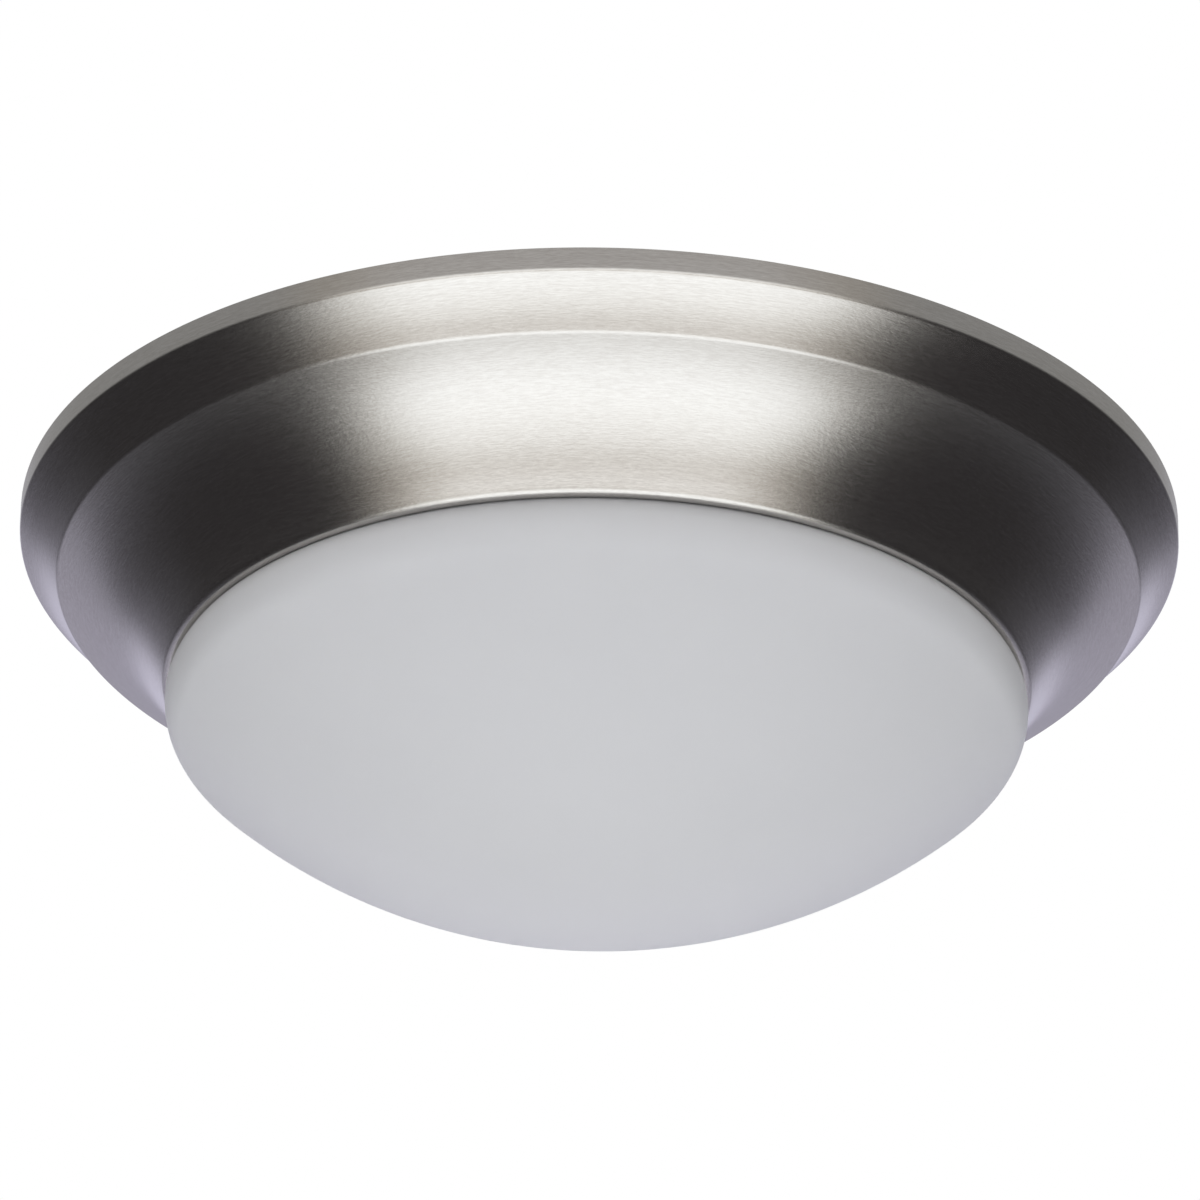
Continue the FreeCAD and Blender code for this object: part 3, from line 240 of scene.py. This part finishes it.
# The sweep behind shows from 63 degrees aside, or 50 on a surface that faces far down,
# and more strongly on one that faces ahead. A share over 1 counts as 1.
edge = light.maths("ABSOLUTE", aside) + 13.0 * droop.step(38.0, 62.0)
sweep = light.ramp(
    edge / 100.0, (0.0, (0.0, 0.0, 0.0)), (0.63, (0.0, 0.0, 0.0)), (0.738, (0.05, 0.05, 0.061)),
    (0.828, (0.17, 0.167, 0.205)), (0.9, (0.63, 0.62, 0.765)), (1.0, (0.72, 0.7, 0.87)))
sweep_share = 0.53 + 0.97 * (1.0 - droop.step(26.0, 42.0))
mirrored = light.blend(1.0, ahead_light, light.blend(sweep_share, (0.0, 0.0, 0.0), sweep), "ADD")

# Seen directly, the room is plain white.
seen = light.node("ShaderNodeLightPath", {}, {}).out("Is Camera Ray")
lit = light.node("ShaderNodeBackground", {}, {"Color": mirrored, "Strength": 1.0})
white = light.node("ShaderNodeBackground", {}, {"Color": (1.0, 1.0, 1.0), "Strength": 1.0})
both = light.node("ShaderNodeMixShader", {}, {0: seen, 1: lit, 2: white})
light.node("ShaderNodeOutputWorld", {}, {"Surface": both})

# Wide soft lamps, hidden from the metal, even out the glass from its crown up to its
# lip. One over the light shows what lies in the pan, seen from above.
glass_middle = Vector((0.0, 0.0, -0.08))
lamp_width = 1.8
for name, place, power in (
        ("key", (-1.6, -0.3, -1.9), 1.9), ("fill", (1.7, -0.2, -1.9), 2.0),
        ("under", (0.0, 1.5, -1.9), 17.0), ("left", (-2.4, -0.6, -0.3), 7.7),
        ("right", (2.4, -0.6, -0.3), 8.5), ("front", (0.0, -2.5, -0.2), 2.4),
        ("low", (0.0, -1.7, -1.7), 4.8), ("over", (0.7, 0.9, 2.3), 20.0)):
    lamp_data = bpy.data.lights.new(name, "AREA")
    lamp_data.shape = "DISK"
    lamp_data.size = lamp_width
    lamp_data.energy = power
    lamp = bpy.data.objects.new(name, lamp_data)
    lamp.location = place
    lamp.rotation_euler = (glass_middle - Vector(place)).to_track_quat("-Z", "Y").to_euler()
    lamp.visible_camera = False
    lamp.visible_glossy = False
    stage.collection.objects.link(lamp)

# ---------------------------------------------------------------- pan
# A shallow shell spun from sheet steel, nickel-plated and then brushed in the lathe,
# so every brush mark runs round it. Its edge closes on the ceiling and its neck is
# rolled over into an upright flange, to which the dish is riveted.


def arc_along(work, vertex, centre, degrees, steps):
    """Carries a profile on from its last point, along an arc about centre (x, z)."""
    made = bmesh.ops.spin(work, geom=[vertex], cent=(centre[0], 0.0, centre[1]),
                          axis=(0.0, -1.0, 0.0), angle=math.radians(degrees), steps=steps,
                          use_merge=False)
    return next(item for item in made["geom_last"] if isinstance(item, bmesh.types.BMVert))


def line_to(work, vertex, x, z, steps=1):
    """Carries a profile on from its last point, straight to x, z, in equal steps."""
    for left in range(steps, 0, -1):
        start = vertex.co
        there = (start.x + (x - start.x) / left, 0.0, start.z + (z - start.z) / left)
        vertex = bmesh.ops.extrude_vert_indiv(work, verts=[vertex])["verts"][0]
        vertex.co = there
    return vertex


def spin_round(work, steps):
    """Turns a profile once round the upright axis and closes the seam and the poles."""
    bmesh.ops.spin(work, geom=work.verts[:] + work.edges[:], cent=(0.0, 0.0, 0.0),
                   axis=(0.0, 0.0, 1.0), angle=2.0 * math.pi, steps=steps, use_merge=True)
    bmesh.ops.remove_doubles(work, verts=work.verts, dist=1e-6)
    bmesh.ops.recalc_face_normals(work, faces=work.faces)


def piece(name, work, body, finish, node, sharp=40.0):
    """Makes a finished mesh an object of the light, crisp where it bends by over sharp degrees."""
    data = bpy.data.meshes.new(name)
    work.to_mesh(data)
    work.free()
    data.shade_smooth()
    data.set_sharp_from_angle(angle=math.radians(sharp))
    data.materials.append(finish)
    made = bpy.data.objects.new(name, data)
    stage.collection.objects.link(made)
    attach(made, body)
    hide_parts(node)
    return made


def arc_angle(centre, point):
    """Direction from a centre to a point, in degrees."""
    return math.degrees(math.atan2(point[1] - centre[1], point[0] - centre[0]))


def cove_centre(first, first_radius, second, second_radius, radius):
    """Centre of the hollow arc that touches two rounded corners."""
    first_reach = radius + first_radius
    second_reach = radius + second_radius
    span = math.dist(first, second)
    along = (first_reach ** 2 - second_reach ** 2 + span ** 2) / (2 * span)
    out = math.sqrt(first_reach ** 2 - along ** 2)
    run = ((second[0] - first[0]) / span, (second[1] - first[1]) / span)
    return (first[0] + along * run[0] - out * run[1], first[1] + along * run[1] + out * run[0])


# Each rounded corner of the profile is a centre (x, z) and a radius.
pan_radius = 0.178
pan_sheet = 0.001
rim_corner = ((0.1764, -0.0065), 0.0016)
crease = ((0.164, -0.019), 0.003)
neck = ((0.1302, -0.0529), 0.0029)
flange_top = -0.0349
upper_cove = cove_centre(*rim_corner, *crease, radius=0.062)
lower_cove = cove_centre(*crease, *neck, radius=0.077)

pan_work = bmesh.new()
point = pan_work.verts.new((pan_radius, 0.0, 0.0))
point = line_to(pan_work, point, pan_radius, rim_corner[0][1])
for centre, start, end, steps in (
        (rim_corner[0], 0.0, arc_angle(rim_corner[0], upper_cove), 8),
        (upper_cove, arc_angle(upper_cove, rim_corner[0]), arc_angle(upper_cove, crease[0]), 16),
        (crease[0], arc_angle(crease[0], upper_cove), arc_angle(crease[0], lower_cove), 14),
        (lower_cove, arc_angle(lower_cove, crease[0]), arc_angle(lower_cove, neck[0]), 24),
        (neck[0], arc_angle(neck[0], lower_cove), -180.0, 16)):
    swing = (end - start + 180.0) % 360.0 - 180.0
    point = arc_along(pan_work, point, centre, swing, steps)
line_to(pan_work, point, neck[0][0] - neck[1], flange_top)
spin_round(pan_work, steps=288)
bmesh.ops.solidify(pan_work, geom=pan_work.faces[:], thickness=pan_sheet)

nickel = Finish("brushed_nickel")
here = nickel.node("ShaderNodeSeparateXYZ", {}, {
    "Vector": nickel.node("ShaderNodeTexCoord", {}, {}).out("Object")})
away = (here.out("X") ** 2.0 + here.out("Y") ** 2.0) ** 0.5
heading = nickel.maths("ARCTAN2", here.out("Y"), here.out("X"))


def brush_marks(along, across):
    """Marks that run round the pan, so many to a radian and so many to a metre across."""
    stretched = nickel.node("ShaderNodeCombineXYZ", {}, {
        "X": heading * along, "Y": away * across, "Z": here.out("Z") * across})
    return nickel.noise(stretched, 1.0, 2.0, 0.6)


# Fine marks a few millimetres long and coarser, longer ones make the grain. The short
# nicks are where a bristle lifts.
marks = brush_marks(60.0, 2400.0) * 0.6 + brush_marks(20.0, 1700.0) * 0.4
nicks = brush_marks(110.0, 2600.0)
cloud = nickel.noise(nickel.place(), 14.0, 3.0)
nickel_finish = nickel.surface(
    Base_Color=nickel.blend(marks.step(0.3, 0.7), (0.60, 0.575, 0.545), (0.70, 0.68, 0.65)),
    Metallic=1.0, Roughness=0.19 + 0.08 * marks + 0.03 * cloud,
    Anisotropic=0.4, Anisotropic_Rotation=0.25,
    Normal=nickel.bump(marks + nicks, 0.00005, 0.5))
piece("pan_shell", pan_work, "base", nickel_finish, "pan")

# ---------------------------------------------------------------- glass dome
# Opal glass blown into a mould, then etched to a satin surface. Its shoulder is a
# little wider than the pan's neck; above it the glass draws in to a neck of its own,
# whose three moulded lugs rest on the spring clips.

shoulder = ((0.1164, -0.061465), 0.015)
lip = ((0.1236, -0.061465), 0.0078)
crown_radius = 0.187
wall = 0.0035
crown_rise = math.sqrt((crown_radius - shoulder[1]) ** 2 - shoulder[0][0] ** 2)
crown = (0.0, shoulder[0][1] + crown_rise)
meeting = arc_angle(crown, shoulder[0])
throat_round = 0.0013
throat = (lip[0][0], lip[0][1] + lip[1] + throat_round)
glass_neck = throat[0] - throat_round
glass_top = -0.043365
lug_low = glass_top - 0.0036
lug_out = 0.1254
lug_half = 8.0
lug_apart = 120.0
lug_round = 0.0005

glass_work = bmesh.new()
point = glass_work.verts.new((0.0, 0.0, crown[1] - crown_radius))
for centre, swing, steps in ((crown, 90.0 + meeting, 64), (shoulder[0], -meeting, 14),
                             (lip[0], 90.0, 18), (throat, -90.0, 8)):
    point = arc_along(glass_work, point, centre, swing, steps)
point = line_to(glass_work, point, glass_neck, lug_low)
line_to(glass_work, point, glass_neck, glass_top)
spin_round(glass_work, steps=360)
bmesh.ops.solidify(glass_work, geom=glass_work.faces[:], thickness=wall)

# The lugs are drawn out of the neck's own outer wall, and their outer edges rounded.
lug_faces = []
for face in glass_work.faces:
    middle = face.calc_center_median()
    turned = math.degrees(math.atan2(middle.y, middle.x)) % lug_apart
    outward = face.normal.x * middle.x + face.normal.y * middle.y
    if (middle.z > lug_low and outward > glass_neck / 2
            and min(turned, lug_apart - turned) < lug_half):
        lug_faces.append(face)
raised = bmesh.ops.extrude_face_region(glass_work, geom=lug_faces)["geom"]
outer = {item for item in raised if isinstance(item, bmesh.types.BMVert)}
lug_stretch = lug_out / glass_neck
bmesh.ops.scale(glass_work, verts=list(outer), vec=(lug_stretch, lug_stretch, 1.0))
corners = [side for side in glass_work.edges
           if outer.intersection(side.verts) and side.is_convex and side.calc_face_angle(0.0) > 1.0]
bmesh.ops.bevel(glass_work, geom=corners, offset=lug_round, offset_type="OFFSET",
                affect="EDGES", segments=3, profile=0.5, material=-1)

opal = Finish("opal_glass")
ripple = opal.noise(opal.place(), 28.0, 3.0, 0.55)
etch = opal.noise(opal.place(), 2600.0, 2.0, 0.6)
opal_finish = opal.surface(
    Base_Color=opal.blend(ripple, (0.71, 0.715, 0.757), (0.735, 0.74, 0.78)),
    Roughness=0.36 + 0.06 * etch,
    Subsurface_Weight=1.0, Subsurface_Radius=(0.01, 0.01, 0.01), Subsurface_Scale=1.2,
    Normal=opal.bump(etch, 0.00001, 0.5))
piece("dome_shell", glass_work, "dome", opal_finish, "dome_glass", sharp=60.0)

# ---------------------------------------------------------------- foam gasket
# A strip of soft white foam, butted into a ring, that lies on the glass shoulder
# and keeps insects and rattles out of the neck.


def ring_section(work, inner, outer, low, high, radius, across=1, upright=1, slope=0.0):
    """Draws a ring's rounded section as a closed profile.

    Its flat sides take across steps and its upright sides take upright steps. Each
    flat side closes in by slope towards its end.
    """
    point = work.verts.new((inner, 0.0, low + radius))
    for centre, end, steps in (
            ((inner + radius, low + radius), (outer - radius, low + slope), across),
            ((outer - radius, low + radius), (outer, high - radius), upright),
            ((outer - radius, high - radius), (inner + radius, high - slope), across),
            ((inner + radius, high - radius), (inner, low + radius), upright)):
        point = arc_along(work, point, centre, 90.0, steps=4)
        point = line_to(work, point, *end, steps)


gasket_wide = 0.0021
gasket_round = 0.0006
low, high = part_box("rim_gasket")
gasket_work = bmesh.new()
ring_section(gasket_work, high.x - gasket_wide, high.x, low.z, high.z, gasket_round)
spin_round(gasket_work, steps=180)

foam = Finish("foam")
cells = foam.node("ShaderNodeTexVoronoi", {}, {"Vector": foam.place(), "Scale": 2200.0})
foam_finish = foam.surface(
    Base_Color=foam.blend(cells.step(0.0, 0.6), (0.62, 0.62, 0.6), (0.82, 0.82, 0.8)),
    Roughness=0.9, Normal=foam.bump(cells, 0.0002, 0.8))
gasket = piece("gasket_ring", gasket_work, "dome_ring", foam_finish, "rim_gasket", sharp=80.0)

# ---------------------------------------------------------------- reflector dish
# A flat steel dish pressed with a rounded corner and a short skirt, punched for the
# screws, rivets and wires, and finished in gloss white enamel so that it throws the
# lamps' light down.


def pressed(node, name, body, finish):
    """A copy of a solid's mesh, joined up and smoothed, that stands for that solid."""
    work = bmesh.new()
    work.from_mesh(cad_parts[node].data)
    bmesh.ops.remove_doubles(work, verts=work.verts, dist=1e-7)
    piece(name, work, body, finish, node, sharp=30.0)


enamel = Finish("white_enamel")
peel = enamel.noise(enamel.place(), 900.0, 1.0)
grime = enamel.noise(enamel.place(), 18.0, 4.0, 0.6)
enamel_finish = enamel.surface(
    Base_Color=enamel.blend(grime.step(0.35, 0.75), (0.86, 0.86, 0.85), (0.79, 0.785, 0.77)),
    Roughness=0.2 + 0.08 * grime, Coat_Weight=0.3, Coat_Roughness=0.08,
    Normal=enamel.bump(peel, 0.00003, 0.4))
pressed("reflector_dish", "dish_shell", "base", enamel_finish)

# ---------------------------------------------------------------- steel fixings
# The crossbar and the socket brackets are blanked from zinc-plated strip, and the
# screws and rivets are plated the same way, in a thin, slightly cloudy coat.

zinc = Finish("zinc_plate")
haze = zinc.noise(zinc.place(), 60.0, 4.0, 0.6)
rolled = zinc.noise(zinc.place((1.0, 60.0, 60.0)), 40.0, 3.0)
zinc_finish = zinc.surface(
    Base_Color=zinc.blend(haze.step(0.3, 0.7), (0.66, 0.67, 0.68), (0.52, 0.53, 0.52)),
    Metallic=1.0, Roughness=0.3 + 0.12 * haze + 0.06 * rolled,
    Normal=zinc.bump(rolled, 0.00002, 0.4))
for node in ("crossbar", "fixture_screws", "neck_rivets", "clip_rivets", "bracket_rivets",
             "socket_screws", "socket_bracket_a", "socket_bracket_b"):
    pressed(node, f"{node}_plated", "base", zinc_finish)

# ---------------------------------------------------------------- spring clips
# Three clips folded from bright spring steel. Each has a leaf riveted inside the neck,
# a ledge that the glass's lug slides onto, and an upturned stop at the far end.

spring = Finish("spring_steel")
ground = spring.noise(spring.place((1.0, 1.0, 14.0)), 300.0, 3.0)
temper = spring.noise(spring.place(), 90.0, 2.0)
spring_finish = spring.surface(
    Base_Color=spring.blend(temper.step(0.3, 0.7), (0.42, 0.44, 0.48), (0.55, 0.54, 0.52)),
    Metallic=1.0, Roughness=0.22 + 0.14 * ground, Normal=spring.bump(ground, 0.00001, 0.5))
pressed("lock_clips", "spring_clips", "base", spring_finish)

# ---------------------------------------------------------------- ground screws and lead
# Green-passivated screws hold the eyes of a short bare copper lead, which joins the
# crossbar to the dish.

passivated = Finish("green_passivated")
patch = passivated.noise(passivated.place(), 500.0, 3.0)
green_finish = passivated.surface(
    Base_Color=passivated.blend(patch.step(0.3, 0.7), (0.03, 0.2, 0.07), (0.07, 0.32, 0.12)),
    Metallic=0.6, Roughness=0.3 + 0.15 * patch)
pressed("ground_screw", "bar_ground_screw", "base", green_finish)
pressed("dish_ground_screw", "dish_ground_screw_plated", "base", green_finish)

copper = Finish("bare_copper")
tarnish = copper.noise(copper.place(), 260.0, 4.0, 0.6)
copper_finish = copper.surface(
    Base_Color=copper.blend(tarnish.step(0.35, 0.7), (0.86, 0.45, 0.27), (0.52, 0.25, 0.13)),
    Metallic=1.0, Roughness=0.24 + 0.2 * tarnish)
pressed("ground_lead", "ground_wire", "base", copper_finish)

# ---------------------------------------------------------------- insulation pad
# A ring of yellow glass wool, die-cut from a soft sheet and laid on the dish to keep
# the lamps' heat off the ceiling. Its edges are ragged and a little crushed.

low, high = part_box("insulation_pad")
wool_out = high.x - 0.0008
wool_in = 0.0648
wool_between = 0.1
wool_crushed = 0.0045
wool_work = bmesh.new()
ring_section(wool_work, wool_in, wool_out, low.z, high.z, wool_crushed,
             across=22, upright=3, slope=0.0002)
spin_round(wool_work, steps=240)

# Lumps from three waves, each so many times round and so many radians to a metre out,
# raise both faces and pull the edges in and out, the inner edge twice as far.
waves = ((7, 60, 1.0), (19, -110, 1.0), (41, 230, 0.6))
waves_high = sum(size for times, out, size in waves)
lump_high = 0.0009
lump_room = 0.0011
edge_pull = 0.0022
middle = (low.z + high.z) / 2
half_thick = (high.z - low.z) / 2
for vertex in wool_work.verts:
    spot = vertex.co
    ring = math.hypot(spot.x, spot.y)
    turn = math.atan2(spot.y, spot.x)
    lump = sum(size * math.sin(times * turn + out * ring) for times, out, size in waves) / waves_high
    height = half_thick - lump_room + lump_high * lump
    spot.z = middle + (spot.z - middle) * height / half_thick
    pull = 1.0 + edge_pull * lump * (1 if ring > wool_between else 2)
    if ring > wool_between:
        pull = min(pull, wool_out / ring)
    spot.x *= pull
    spot.y *= pull

wool = Finish("glass_wool")
tuft = wool.noise(wool.place(), 120.0, 5.0, 0.7)
strand_a = wool.noise(wool.place((1.0, 14.0, 6.0)), 160.0, 3.0, 0.6)
strand_b = wool.noise(wool.place((14.0, 1.0, 6.0)), 160.0, 3.0, 0.6)
strands = wool.maths("MAXIMUM", strand_a, strand_b)
wool_finish = wool.surface(
    Base_Color=wool.blend(tuft.step(0.25, 0.75), (0.83, 0.66, 0.3), (0.95, 0.86, 0.58)),
    Roughness=0.95, Sheen_Weight=0.4, Sheen_Roughness=0.5,
    Normal=wool.bump(strands + 0.8 * tuft, 0.0012, 0.7))
wool_pad = piece("wool_pad", wool_work, "base", wool_finish, "insulation_pad", sharp=80.0)

# ---------------------------------------------------------------- wiring
# Each socket's black and white leads run under the dish, up through a nylon bushing and
# into orange wire nuts, where the house's wires join them.


def coated(name, dull, bright, roughness):
    """Moulded or extruded plastic: an even colour with faint draw lines and scuffs."""
    coat = Finish(name)
    scuff = coat.noise(coat.place(), 320.0, 4.0, 0.6)
    return coat.surface(
        Base_Color=coat.blend(scuff.step(0.4, 0.8), dull, bright),
        Roughness=roughness + 0.12 * scuff, Normal=coat.bump(scuff, 0.00002, 0.5))


black_coat = coated("black_insulation", (0.012, 0.012, 0.013), (0.035, 0.035, 0.036), 0.38)
white_coat = coated("white_insulation", (0.82, 0.82, 0.8), (0.7, 0.69, 0.66), 0.4)
for letter in "ab":
    pressed(f"lead_black_{letter}", f"black_wire_{letter}", "base", black_coat)
    pressed(f"lead_white_{letter}", f"white_wire_{letter}", "base", white_coat)
nylon_coat = coated("natural_nylon", (0.75, 0.74, 0.69), (0.66, 0.65, 0.6), 0.35)
pressed("wire_bushing", "snap_bushing", "base", nylon_coat)
orange_coat = coated("orange_cap", (0.86, 0.25, 0.02), (0.8, 0.2, 0.02), 0.32)
for colour in ("black", "white"):
    pressed(f"wire_nut_{colour}", f"{colour}_wire_cap", "base", orange_coat)

# ---------------------------------------------------------------- sockets
# Glazed porcelain barrels with a collar at the mouth; inside each is a brass screw shell
# and a sprung centre contact.

porcelain = Finish("glazed_porcelain")
pool = porcelain.noise(porcelain.place(), 45.0, 3.0)
fleck = porcelain.noise(porcelain.place(), 900.0, 2.0)
porcelain_finish = porcelain.surface(
    Base_Color=porcelain.blend(fleck.step(0.66, 0.72), (0.87, 0.86, 0.82), (0.6, 0.56, 0.5)),
    Roughness=0.12 + 0.1 * pool, Coat_Weight=0.5, Coat_Roughness=0.05,
    Normal=porcelain.bump(pool, 0.0002, 0.3))
brass = Finish("brass_sheet")
drawn = brass.noise(brass.place((1.0, 30.0, 30.0)), 60.0, 3.0)
brass_finish = brass.surface(
    Base_Color=brass.blend(drawn.step(0.3, 0.7), (0.82, 0.62, 0.3), (0.66, 0.47, 0.2)),
    Metallic=1.0, Roughness=0.22 + 0.12 * drawn)
for letter in "ab":
    pressed(f"socket_body_{letter}", f"porcelain_{letter}", "base", porcelain_finish)
    pressed(f"socket_shell_{letter}", f"screw_shell_{letter}", "base", brass_finish)
    pressed(f"socket_contact_{letter}", f"centre_contact_{letter}", "base", brass_finish)

# ---------------------------------------------------------------- lamps
# Two screw-base lamps: a dark insulator with its centre contact, a cap rolled with a
# right-handed thread of seven turns to the inch, a moulded white housing and a milky
# diffusing globe.

tip_coat = coated("dark_insulator", (0.02, 0.02, 0.024), (0.05, 0.05, 0.055), 0.15)
cap = Finish("plated_cap")
roll = cap.noise(cap.place(), 240.0, 3.0)
cap_finish = cap.surface(
    Base_Color=cap.blend(roll.step(0.3, 0.7), (0.74, 0.74, 0.73), (0.6, 0.6, 0.58)),
    Metallic=1.0, Roughness=0.2 + 0.12 * roll)
thread_pitch = 0.0254 / 7
thread_deep = 0.0007
thread_starts = 0.002
thread_ends = 0.003
chamfer = 0.001
for letter, outwards in (("a", 1.0), ("b", -1.0)):
    # The cap is turned upright with its contact end at the origin, threaded, and laid
    # down with that end in its socket.
    low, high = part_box(f"lamp_{letter}_cap")
    crest = (high.y - low.y) / 2
    long = high.x - low.x
    cap_work = bmesh.new()
    point = cap_work.verts.new((0.0, 0.0, 0.0))
    point = line_to(cap_work, point, crest - chamfer, 0.0)
    point = line_to(cap_work, point, crest, chamfer)
    point = line_to(cap_work, point, crest, long, steps=90)
    line_to(cap_work, point, 0.0, long)
    spin_round(cap_work, steps=64)
    for vertex in cap_work.verts:
        spot = vertex.co
        ring = math.hypot(spot.x, spot.y)
        if ring > crest - chamfer / 2:
            turn = math.atan2(spot.y, spot.x)
            runout = min(1.0, (spot.z - chamfer) / thread_starts, (long - spot.z) / thread_ends)
            wave = 0.5 - 0.5 * math.cos(2.0 * math.pi * spot.z / thread_pitch - turn)
            sink = thread_deep * runout * wave
            spot.x *= 1.0 - sink / ring
            spot.y *= 1.0 - sink / ring
    bmesh.ops.rotate(cap_work, verts=cap_work.verts, cent=(0.0, 0.0, 0.0),
                     matrix=Matrix.Rotation(math.radians(90.0 * outwards), 3, "Y"))
    contact_end = low.x if outwards > 0 else high.x
    bmesh.ops.translate(cap_work, verts=cap_work.verts,
                        vec=(contact_end, (low.y + high.y) / 2, (low.z + high.z) / 2))
    piece(f"lamp_screw_{letter}", cap_work, f"lamp_{letter}", cap_finish,
          f"lamp_{letter}_cap")

housing_coat = coated("white_housing", (0.86, 0.86, 0.85), (0.8, 0.8, 0.78), 0.3)
diffuser = Finish("milky_diffuser")
mould = diffuser.noise(diffuser.place(), 1500.0, 2.0)
diffuser_finish = diffuser.surface(
    Base_Color=diffuser.blend(mould, (0.86, 0.86, 0.84), (0.9, 0.9, 0.885)),
    Roughness=0.42 + 0.08 * mould,
    Subsurface_Weight=0.2, Subsurface_Radius=(0.01, 0.01, 0.01), Subsurface_Scale=0.2,
    Normal=diffuser.bump(mould, 0.00001, 0.4))
for letter in "ab":
    lamp_body = f"lamp_{letter}"
    pressed(f"lamp_{letter}_contact", f"lamp_tip_{letter}", f"{lamp_body}_tip", tip_coat)
    pressed(f"lamp_{letter}_housing", f"lamp_housing_shell_{letter}", lamp_body,
            housing_coat)
    pressed(f"lamp_{letter}_globe", f"lamp_globe_shell_{letter}", lamp_body,
            diffuser_finish)
